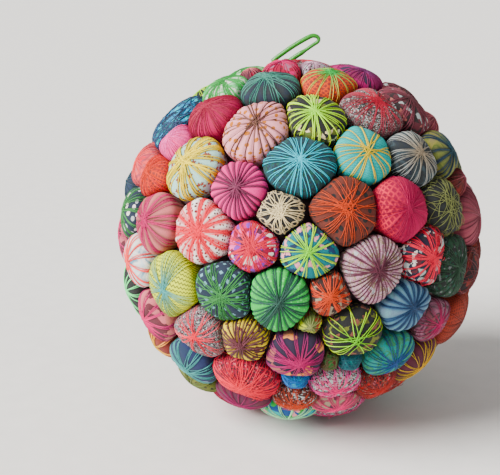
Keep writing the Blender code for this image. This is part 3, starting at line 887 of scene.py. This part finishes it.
def thread_arrays(puff, wind, strands, detail, chance):
    """Points, faces, twist values and colours of one puff's threads."""
    pole_colour = np.array(linear(wind.pole_colour))
    rim_colour = np.array(linear(wind.rim_colour))
    radius = 0.5 * wind.thick
    parts = []
    for strand in strands + [None] * wind.fringe:
        if strand is None:
            t, turn, height = loose_end(puff, wind, chance)
        else:
            disc = strand_on_disc(strand, detail.stops, chance, wind)
            t = np.hypot(disc[:, 0], disc[:, 1])
            turn = np.arctan2(disc[:, 1], disc[:, 0])
            pile = PILE_THREADS * wind.thick * chance.random() * np.exp(-(t / PILE_REACH) ** 2)
            seat = radius * (THREAD_SEAT + SEAT_SPREAD * chance.random())
            height = -wind.press * press_share(t) + seat + pile
            height[[0, -1]] -= END_SINK * radius
        middle, normals = raised_points(puff, t, turn, height)
        radii = np.full(len(t), radius / MM_PER_M) * chance.uniform(*THICK_SPREAD)
        if strand is None:
            radii *= FRINGE_THICK
        skin, faces, ways, lengths = tube_arrays(middle, normals, radii, detail.corners)
        twist = np.column_stack([ways, lengths + TWIST_SHIFT * chance.random()])
        towards_rim = np.clip((np.repeat(t, detail.corners) - TINT_START) / TINT_SPAN, 0.0, 1.0)
        crosses_pole = strand is None or strand[2]
        mix = (towards_rim if crosses_pole else np.full(len(skin), chance.random()))[:, None]
        tint = ((1.0 - mix) * pole_colour + mix * rim_colour) * chance.uniform(*TINT_SPREAD)
        parts.append((skin, faces, twist, np.column_stack([np.clip(tint, 0.0, 1.0), np.ones(len(skin))])))
    return joined(parts)


def linear(name):
    """A named colour as linear red, green and blue, made more vivid for the render's soft tones."""
    code = COLOURS[name]
    shares = [int(code[place:place + 2], 16) / 255.0 for place in (0, 2, 4)]
    power = SCREEN_POWER * DEPTH
    plain = [((share + SCREEN_OFFSET) / (1.0 + SCREEN_OFFSET)) ** power for share in shares]
    grey = sum(plain) / 3.0
    lift = LIFT * (1.0 - max(plain))
    return [min(1.0, max(0.0, lift + grey + (share - grey) * VIVID)) for share in plain]


def add_object(name, data):
    made = bpy.data.objects.new(name, data)
    bpy.context.scene.collection.objects.link(made)
    return made


def mesh_piece(name, points, faces, material, **layers):
    """A smooth mesh object with its material and its named point attributes."""
    mesh = bpy.data.meshes.new(name)
    mesh.from_pydata(points.tolist(), [], faces)
    mesh.shade_smooth()
    mesh.materials.append(material)
    for label, values in layers.items():
        kind, field = LAYERS[label]
        layer = mesh.attributes.new(label, kind, "POINT")
        layer.data.foreach_set(field, np.ascontiguousarray(values, dtype=np.float32).ravel())
    return add_object(name, mesh)


def fill(tree, made, inputs):
    """Set a node's inputs, or link those that are given as sockets."""
    for key, value in inputs.items():
        if isinstance(value, bpy.types.NodeSocket):
            tree.links.new(value, made.inputs[key])
        else:
            made.inputs[key].default_value = value


def node(tree, kind, inputs=None, **settings):
    """Add a node, set its settings and set or link its inputs."""
    made = tree.nodes.new("ShaderNode" + kind)
    for key, value in settings.items():
        setattr(made, key, value)
    fill(tree, made, inputs or {})
    return made


def calc(tree, operation, first, second=0.0, third=0.0):
    """Result of a Math node."""
    return node(tree, "Math", {0: first, 1: second, 2: third}, operation=operation).outputs[0]


def vector_calc(tree, operation, first, second):
    """Result of a Vector Math node."""
    return node(tree, "VectorMath", {0: first, 1: second}, operation=operation).outputs[0]


def remap(tree, value, low, high, to_low=0.0, to_high=1.0):
    """A value moved from one range into another and held in it."""
    inputs = {"Value": value, "From Min": low, "From Max": high, "To Min": to_low, "To Max": to_high}
    return node(tree, "MapRange", inputs).outputs[0]


def noise(tree, place, scale, dimensions="2D", **more):
    """Outputs of a noise of three octaves, with further inputs by name."""
    inputs = {"Vector": place, "Scale": scale, "Detail": 3.0, **more}
    return node(tree, "TexNoise", inputs, noise_dimensions=dimensions).outputs


def plain_colour(name):
    """A named colour with full opacity."""
    return (*linear(name), 1.0)


def blend(tree, factor, first, second, blend_type="MIX"):
    """Mix two colours; each is a socket or a colour's name."""
    first, second = (plain_colour(value) if isinstance(value, str) else value for value in (first, second))
    inputs = {"Factor": factor, 6: first, 7: second}
    return node(tree, "Mix", inputs, data_type="RGBA", blend_type=blend_type).outputs[2]


def shaded(tree, colour, shade):
    """A colour times a shade of grey."""
    grey = node(tree, "CombineColor", {0: shade, 1: shade, 2: shade})
    return blend(tree, 1.0, colour, grey.outputs[0], "MULTIPLY")


def ramp(tree, factor, names, stepped):
    """Colour ramp through named colours, in steps or smooth."""
    made = node(tree, "ValToRGB", {"Fac": factor})
    made.color_ramp.interpolation = "CONSTANT" if stepped else "LINEAR"
    points = made.color_ramp.elements
    points.remove(points[1])
    points[0].position = 0.0
    points[0].color = plain_colour(names[0])
    last = len(names) if stepped else len(names) - 1
    for place, name in enumerate(names[1:], start=1):
        points.new(place / last).color = plain_colour(name)
    return made.outputs["Color"]


def warped(tree, place, size, amount):
    """Disc places pushed about by noise, so that a print's edges wander."""
    cloud = noise(tree, place, WARP_SIZE / size, Detail=2.0)["Color"]
    centred = vector_calc(tree, "SUBTRACT", cloud, (0.5, 0.5, 0.5))
    pushed = node(tree, "VectorMath", {0: centred, "Scale": size * amount}, operation="SCALE")
    return vector_calc(tree, "ADD", place, pushed.outputs[0])


def split(tree, vector):
    return node(tree, "SeparateXYZ", {0: vector}).outputs


def voronoi(tree, place, size, randomness, feature="F1"):
    """Outputs of a pattern of cells of a size."""
    inputs = {"Vector": place, "Scale": 1.0 / size, "Randomness": randomness}
    return node(tree, "TexVoronoi", inputs, voronoi_dimensions="2D", feature=feature).outputs


def turned(tree, place, angle):
    return node(tree, "VectorRotate", {"Vector": place, "Angle": angle}).outputs[0]


def turn_count(tree, x, y, count):
    """Angle round the pole, with a count of steps for a whole turn."""
    return calc(tree, "MULTIPLY", calc(tree, "ARCTAN2", y, x), count / TURN)


def squares(tree, x, y):
    """Sum of two squares."""
    return calc(tree, "MULTIPLY_ADD", x, x, calc(tree, "MULTIPLY", y, y))


def print_cells(tree, place, names, size, amount=0.0):
    """Cells, each in one of the colours."""
    spot = warped(tree, place, size, amount) if amount else place
    cells = voronoi(tree, spot, size, 1.0)
    return ramp(tree, split(tree, cells["Color"])[0], names, True)


def print_patches(tree, place, names, size):
    """Cells with wandering edges."""
    return print_cells(tree, place, names, size, amount=1.6)


def print_dots(tree, place, names, size, scatter=0.7, radius=0.24):
    """Round dots, scattered over the ground colour."""
    cells = voronoi(tree, place, size, scatter)
    dot = calc(tree, "LESS_THAN", cells["Distance"], radius)
    colour = ramp(tree, split(tree, cells["Color"])[0], names[1:], True)
    return blend(tree, dot, names[0], colour)


def print_sprigs(tree, place, names, size, scatter=0.8, petals=5.0, depth=0.07, radius=0.27, centre=0.1):
    """Small flowers with a centre, scattered over the ground colour."""
    cells = voronoi(tree, place, size, scatter)
    x, y, _ = split(tree, vector_calc(tree, "SUBTRACT", place, cells["Position"]))
    waves = calc(tree, "SINE", calc(tree, "MULTIPLY", calc(tree, "ARCTAN2", y, x), petals))
    edge = calc(tree, "MULTIPLY_ADD", waves, depth, radius)
    flower = calc(tree, "LESS_THAN", cells["Distance"], edge)
    middle = calc(tree, "LESS_THAN", cells["Distance"], centre)
    return blend(tree, middle, blend(tree, flower, names[0], names[1]), names[2])


def print_checks(tree, place, names, size, lean=0.8, gap=0.63, sway=3.0, ground_size=4.0):
    """Diamond checks on the ground colour."""
    x, y, _ = split(tree, turned(tree, warped(tree, place, sway * size, 0.2), lean))
    row = calc(tree, "PINGPONG", x, size)
    column = calc(tree, "PINGPONG", y, size)
    inside = calc(tree, "GREATER_THAN", calc(tree, "MINIMUM", row, column), gap * size)
    ground = print_cells(tree, place, [names[0], names[2]], ground_size * size, amount=1.0)
    return blend(tree, inside, ground, names[1])


def print_net(tree, place, names, size, lean=0.785, scatter=0.4, yarn=0.1, hole=0.24):
    """Net or crochet with a dark hole in each mesh, its colour partly painted shade inside the hole."""
    cells = voronoi(tree, turned(tree, place, lean), size, scatter, "DISTANCE_TO_EDGE")
    # The hole colour is partly painted shade inside the holes
    return blend(tree, remap(tree, cells["Distance"], yarn, hole), names[0], names[1])


def print_mesh(tree, place, names, size, start=-11.0, end=1.0):
    """Open mesh on one half of the puff and plain cloth of the same colour on the other."""
    plain = remap(tree, split(tree, place)[0], start, end)
    return blend(tree, plain, print_net(tree, place, names[1:], size), names[0])


def print_eyelets(tree, place, names, count):
    """A ring of round holes near the rim, each with a border, on the ground colour."""
    x, y, _ = split(tree, place)
    radius = calc(tree, "SQRT", squares(tree, x, y))
    turn = turn_count(tree, x, y, count)
    across = calc(tree, "SUBTRACT", calc(tree, "FRACT", turn), 0.5)
    across = calc(tree, "MULTIPLY", across, TURN * EYELET_RING / count)
    along = calc(tree, "SUBTRACT", radius, EYELET_RING)
    away = squares(tree, across, along)
    border = calc(tree, "LESS_THAN", away, EYELET_BORDER ** 2)
    hole = calc(tree, "LESS_THAN", away, EYELET_HOLE ** 2)
    return blend(tree, hole, blend(tree, border, names[0], names[1]), names[2])


def print_knit(tree, place, names, size, slope=0.9, gap=0.17):
    """Columns of knit stitches, with painted shade in a darker colour between them."""
    x, y, _ = split(tree, place)
    column = calc(tree, "PINGPONG", x, 0.5 * size)
    stitch = calc(tree, "PINGPONG", calc(tree, "MULTIPLY_ADD", column, slope, y), 0.5 * size)
    # Painted shade: the darker colour lies in the gaps between stitches
    shade = calc(tree, "LESS_THAN", stitch, gap * size)
    return blend(tree, shade, names[0], names[1])


def print_rays(tree, place, names, count):
    """Fine threads side by side from the pole to the rim."""
    x, y, seed = split(tree, place)
    spot = node(tree, "CombineXYZ", {0: turn_count(tree, x, y, count), 1: seed}).outputs[0]
    return ramp(tree, noise(tree, spot, 1.0, Detail=2.0, Roughness=0.7)["Fac"], names, False)


def print_batik(tree, place, names, size, low=0.3, high=0.7):
    """Clouds of colour that run into each other."""
    cloud = noise(tree, place, CLOUD_SIZE / size, Distortion=0.6)["Fac"]
    return ramp(tree, remap(tree, cloud, low, high), names, False)


PRINTS = {
    "patches": print_patches, "tweed": print_cells, "speckle": print_cells, "dots": print_dots,
    "sprigs": print_sprigs, "checks": print_checks, "net": print_net, "knit": print_knit,
    "rays": print_rays, "batik": print_batik, "plain": print_batik, "mesh": print_mesh,
    "eyelets": print_eyelets,
}
# Prints that go by a puff's own disc
ROUND_PRINTS = ("rays", "eyelets", "mesh")


def new_material(name):
    """A material with a node tree, and its shader."""
    material = bpy.data.materials.new(name)
    material.use_nodes = True
    return material, material.node_tree, material.node_tree.nodes["Principled BSDF"]


def attribute(tree, name, output):
    return node(tree, "Attribute", attribute_name=name).outputs[output]


def bump(tree, shader, height, strength, depth):
    """Give a shader relief from a height value."""
    values = {"Height": height, "Strength": strength, "Distance": depth}
    tree.links.new(node(tree, "Bump", values).outputs["Normal"], shader.inputs["Normal"])


def cloth_material(name, cloth):
    """Printed or plain cloth with a fine weave and painted shade in its creases, some in a darker colour.
    """
    material, tree, shader = new_material(name)
    place = attribute(tree, "place", "Vector")
    seed = split(tree, place)[2]
    shift = {axis: calc(tree, "MULTIPLY", seed, SEED_SHIFT[axis]) for axis in (0, 1)}
    moved = vector_calc(tree, "ADD", place, node(tree, "CombineXYZ", shift).outputs[0])
    source = place if cloth.pattern in ROUND_PRINTS else moved
    colour = PRINTS[cloth.pattern](tree, source, cloth.colours, cloth.size)
    fold = attribute(tree, "fold", "Fac")
    # Where a crease colour is given, it is partly painted shade, strongest at the crease bottom
    if cloth.crease:
        colour = blend(tree, calc(tree, "POWER", fold, CREASE_POWER), colour, cloth.crease)
    fibres = noise(tree, moved, CLOTH_FIBRES)["Fac"]
    # Painted shade: the cloth darkens towards the bottom of each crease and at the puff's foot
    deep = calc(tree, "MULTIPLY_ADD", fold, CREASE_SHADE, 1.0)
    shade = calc(tree, "MULTIPLY", remap(tree, fibres, 0.0, 1.0, *CLOTH_SHADES), deep)
    fill(tree, shader, {
        "Base Color": shaded(tree, colour, shade), "Roughness": 0.9, "Specular IOR Level": 0.2,
        "Sheen Weight": 0.04, "Sheen Roughness": 0.5,
    })
    x, y, _ = split(tree, moved)
    weave = calc(tree, "ADD", calc(tree, "PINGPONG", x, WEAVE), calc(tree, "PINGPONG", y, WEAVE))
    bump(tree, shader, calc(tree, "MULTIPLY_ADD", fibres, 0.5, weave), *CLOTH_BUMP)
    return material


def ply(tree, twist, turning):
    """Relief of a twisted thread: 1 on a strand and 0 between two."""
    x, y, along = split(tree, twist)
    shift = calc(tree, "MULTIPLY", along, turning)
    angle = calc(tree, "MULTIPLY_ADD", calc(tree, "ARCTAN2", y, x), 2.0, shift)
    return calc(tree, "MULTIPLY_ADD", calc(tree, "SINE", angle), 0.5, 0.5)


def thread_material():
    """Wound thread in its own colour, with twist, loose fibres and painted shade between its strands."""
    material, tree, shader = new_material("wound_thread")
    twist = attribute(tree, "twist", "Vector")
    fibres = noise(tree, twist, THREAD_FIBRES, "3D", Roughness=0.65)["Fac"]
    loose = calc(tree, "MULTIPLY", fibres, FIBRE_SHARE)
    # Painted shade: the thread is darker in the grooves between its twisted strands; the fibres vary its
    # tone at random
    mixed = calc(tree, "MULTIPLY_ADD", ply(tree, twist, THREAD_PLY), STRAND_SHARE, loose)
    shade = remap(tree, mixed, 0.0, SHADE_TOP, *THREAD_SHADES)
    fill(tree, shader, {
        "Base Color": shaded(tree, attribute(tree, "tint", "Color"), shade), "Roughness": 0.6,
        "Specular IOR Level": 0.3, "Sheen Weight": 0.04, "Sheen Roughness": 0.4,
    })
    bump(tree, shader, mixed, *THREAD_BUMP)
    return material


def cord_material():
    """Glossy green cord: painted light on its front side, painted shade on its back and between strands."""
    material, tree, shader = new_material("glossy_green_cord")
    twist = attribute(tree, "twist", "Vector")
    strands = ply(tree, twist, CORD_PLY)
    # Painted light and shade: lighter on the front side, darker on the back and in the grooves between
    # strands
    painted_front_light = calc(tree, "MULTIPLY_ADD", split(tree, twist)[0], 0.5, 0.5)
    level = calc(tree, "MULTIPLY_ADD", strands, 0.2, calc(tree, "MULTIPLY", painted_front_light, 0.8))
    colour = ramp(tree, level, ["cord_dark", "cord_green", "cord_light"], False)
    fill(tree, shader, {"Base Color": colour, "Roughness": 0.35, "Coat Weight": 0.2})
    bump(tree, shader, strands, *CORD_BUMP)
    return material


def plain_material(name, colour, roughness):
    """One colour with a faint unevenness."""
    material, tree, shader = new_material(name)
    place = node(tree, "TexCoord").outputs["Object"]
    shade = remap(tree, noise(tree, place, PLAIN_GRAIN, "3D")["Fac"], 0.0, 1.0, *PLAIN_SHADES)
    fill(tree, shader, {"Base Color": shaded(tree, colour, shade), "Roughness": roughness})
    return material


def add_puffs(name, puffs, row, detail, materials, nodes):
    """Cloth and thread of one puff, or of several that share a look."""
    cloths, threads = [], []
    for puff in puffs:
        chance = random.Random(PUFF_SEED + puff.seed)
        strands = plan_strands(row.wind, puff.scale, chance)
        cloths.append(cloth_arrays(puff, row.wind, strands, detail, chance))
        threads.append(thread_arrays(puff, row.wind, strands, detail, chance))
    if row.name not in materials:
        materials[row.name] = cloth_material("cloth_" + row.name, row.cloth)
    points, faces, place, fold = joined(cloths)
    cloth = mesh_piece(name % "cloth", points, faces, materials[row.name], place=place, fold=fold)
    points, faces, twist, tint = joined(threads)
    thread = mesh_piece(name % "thread", points, faces, materials["thread"], twist=twist, tint=tint)
    for piece in (cloth, thread):
        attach(piece, "root")
        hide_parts(*nodes)


def place_in_view(puff):
    """The pixel at which the front view has a puff's pole."""
    offset = puff.pole * puff.crown - view_eye()
    scale = VIEW_FOCAL / offset.dot(VIEW_AHEAD)
    return (
        VIEW_MIDDLE[0] + scale * offset.dot(VIEW_RIGHT),
        VIEW_MIDDLE[1] - scale * offset.dot(VIEW_UP),
    )


def nearest_in_view(puffs, view_x, view_y):
    return min(puffs, key=lambda puff: math.dist(place_in_view(puff), (view_x, view_y)))


def sink_edge(hidden):
    """Lower the hidden puffs that would otherwise rise past the edge more than the photograph shows."""
    for view_x, view_y, depth in EDGE_SUNK:
        nearest_in_view(hidden, view_x, view_y).crown -= depth


def back_groups(hidden):
    """The hidden puffs, sorted by look, with neighbours of different looks where they can be."""
    edge = [puff for puff in hidden if puff.pole.dot(-VIEW_AHEAD) > EDGE_FACING]
    for view_x, view_y, look in EDGE_LOOKS:
        nearest_in_view(edge, view_x, view_y).look = look
    chance = random.Random(BACK_SEED)
    looks = {}
    for puff in hidden:
        if puff.look is None:
            near = {other.look for other in hidden if other.look and other.pole.dot(puff.pole) > NEAR_LOOK}
            puff.look = chance.choice([look for look in BACK_LOOKS if look not in near] or BACK_LOOKS)
        looks.setdefault(puff.look, []).append(puff)
    return looks


def add_carrier():
    """The dark ball of cloth that shows between the puffs."""
    rows, columns = CARRIER_STEPS
    lean = (np.arange(1, rows) / rows * math.pi)[:, None]
    turn = (np.arange(columns) / columns * TURN)[None, :]
    ways = np.stack([
        np.sin(lean) * np.cos(turn),
        np.sin(lean) * np.sin(turn),
        np.broadcast_to(np.cos(lean), (rows - 1, columns)),
    ], axis=2).reshape(-1, 3)
    ways = np.vstack([[[0.0, 0.0, 1.0]], ways, [[0.0, 0.0, -1.0]]])
    uneven = np.sin(23.0 * ways[:, 0] + 5.0 * ways[:, 2]) + np.sin(19.0 * ways[:, 1] - 7.0 * ways[:, 2])
    points = CENTRE + ways * (CORE_RADIUS - CARRIER_DIP * (2.0 + uneven))[:, None]
    faces = closed_faces(rows - 1, columns)
    material = plain_material("dark_cloth", "carrier", CARRIER_ROUGHNESS)
    carrier = mesh_piece("carrier", points, faces, material)
    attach(carrier, "root")
    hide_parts("ball")


def smooth_points(stops, count):
    """A smooth curve through the stops."""
    stops = np.array(stops)
    padded = np.vstack([2.0 * stops[0] - stops[1], stops, 2.0 * stops[-1] - stops[-2]])
    points = []
    for step in np.linspace(0.0, len(stops) - 1.0, count):
        piece = min(int(step), len(stops) - 2)
        s = step - piece
        before, start, end, after = padded[piece:piece + 4]
        points.append(0.5 * (
            2.0 * start
            + (end - before) * s
            + (2.0 * before - 5.0 * start + 4.0 * end - after) * s ** 2
            + (3.0 * start - before - 3.0 * end + after) * s ** 3
        ))
    return np.array(points)


def add_loop():
    """The cord that leaves its gap behind the top, makes a flat loop and goes back into the gap."""
    root = loop_root().pole
    deep = CENTRE + root * (CORE_RADIUS - LOOP_FOOT_DEPTH)
    spread = np.array([LOOP_FOOT_SPREAD, 0.0, 0.0])
    route = [deep - spread] + [CENTRE + np.array(stop) for stop in LOOP_STOPS] + [deep + spread]
    middle = smooth_points(route, CORD_STEPS)
    normals = np.tile([0.0, -1.0, 0.0], (CORD_STEPS, 1))
    shares = np.interp(np.linspace(0.0, 1.0, CORD_STEPS), *zip(*LOOP_THICKNESS))
    radii = 0.5 * CORD_DIAMETER * shares
    points, faces, ways, lengths = tube_arrays(middle, normals, radii, CORD_SIDES)
    twist = np.column_stack([ways, lengths])
    loop = mesh_piece("loop_cord", points, faces, cord_material(), twist=twist)
    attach(loop, "root")
    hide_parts("hanging_loop")


def add_floor():
    """A plain pale floor."""
    half = FLOOR_HALF
    corners = [(-half, -half, 0.0), (half, -half, 0.0), (half, half, 0.0), (-half, half, 0.0)]
    material = plain_material("pale_floor", "floor", FLOOR_ROUGHNESS)
    mesh_piece("floor", np.array(corners), [(0, 1, 2, 3)], material)


def add_light(name, place, softness, strength, colour):
    """Soft light from one side, as from a wide window."""
    lamp = bpy.data.lights.new(name, "SUN")
    lamp.angle = softness
    lamp.energy = strength
    lamp.color = colour
    light = add_object(name, lamp)
    light.location = place
    light.rotation_euler = (-Vector(place)).to_track_quat("-Z", "Y").to_euler()


def add_world():
    """Soft pale light from all round."""
    world = bpy.data.worlds.new("studio")
    world.use_nodes = True
    background = world.node_tree.nodes["Background"]
    background.inputs["Color"].default_value = plain_colour("studio")
    background.inputs["Strength"].default_value = STUDIO_STRENGTH
    bpy.context.scene.world = world


def add_camera():
    """The photograph's view."""
    camera = bpy.data.cameras.new("front_view")
    camera.sensor_width = SENSOR_WIDTH
    camera.lens = VIEW_FOCAL * SENSOR_WIDTH / VIEW_WIDTH
    holder = add_object("front_view", camera)
    holder.location = CENTRE + view_eye()
    holder.rotation_euler = (0.5 * math.pi - VIEW_PITCH, 0.0, 0.0)
    bpy.context.scene.camera = holder


def main():
    front, small, base, hidden = plan_puffs()
    rows = {puff.name: puff.row for puff in front + small}
    sink_edge(hidden)
    materials = {"thread": thread_material()}
    for puff in front:
        add_puffs("%s_" + puff.name, [puff], puff.row, FINE, materials, ["puff_" + puff.name])
    for puff in small:
        add_puffs("%s_" + puff.name, [puff], puff.row, FINE, materials, ["ball"])
    add_puffs("%s_base", [base], rows[BASE_LOOK], COARSE, materials, ["puff_base"])
    for look, puffs in back_groups(hidden).items():
        add_puffs("back_%s_" + look, puffs, rows[look], COARSE, materials, ["ball"])
    add_carrier()
    add_loop()
    add_floor()
    add_light("key_light", *KEY_LIGHT)
    add_light("fill_light", *FILL_LIGHT)
    add_world()
    add_camera()


main()
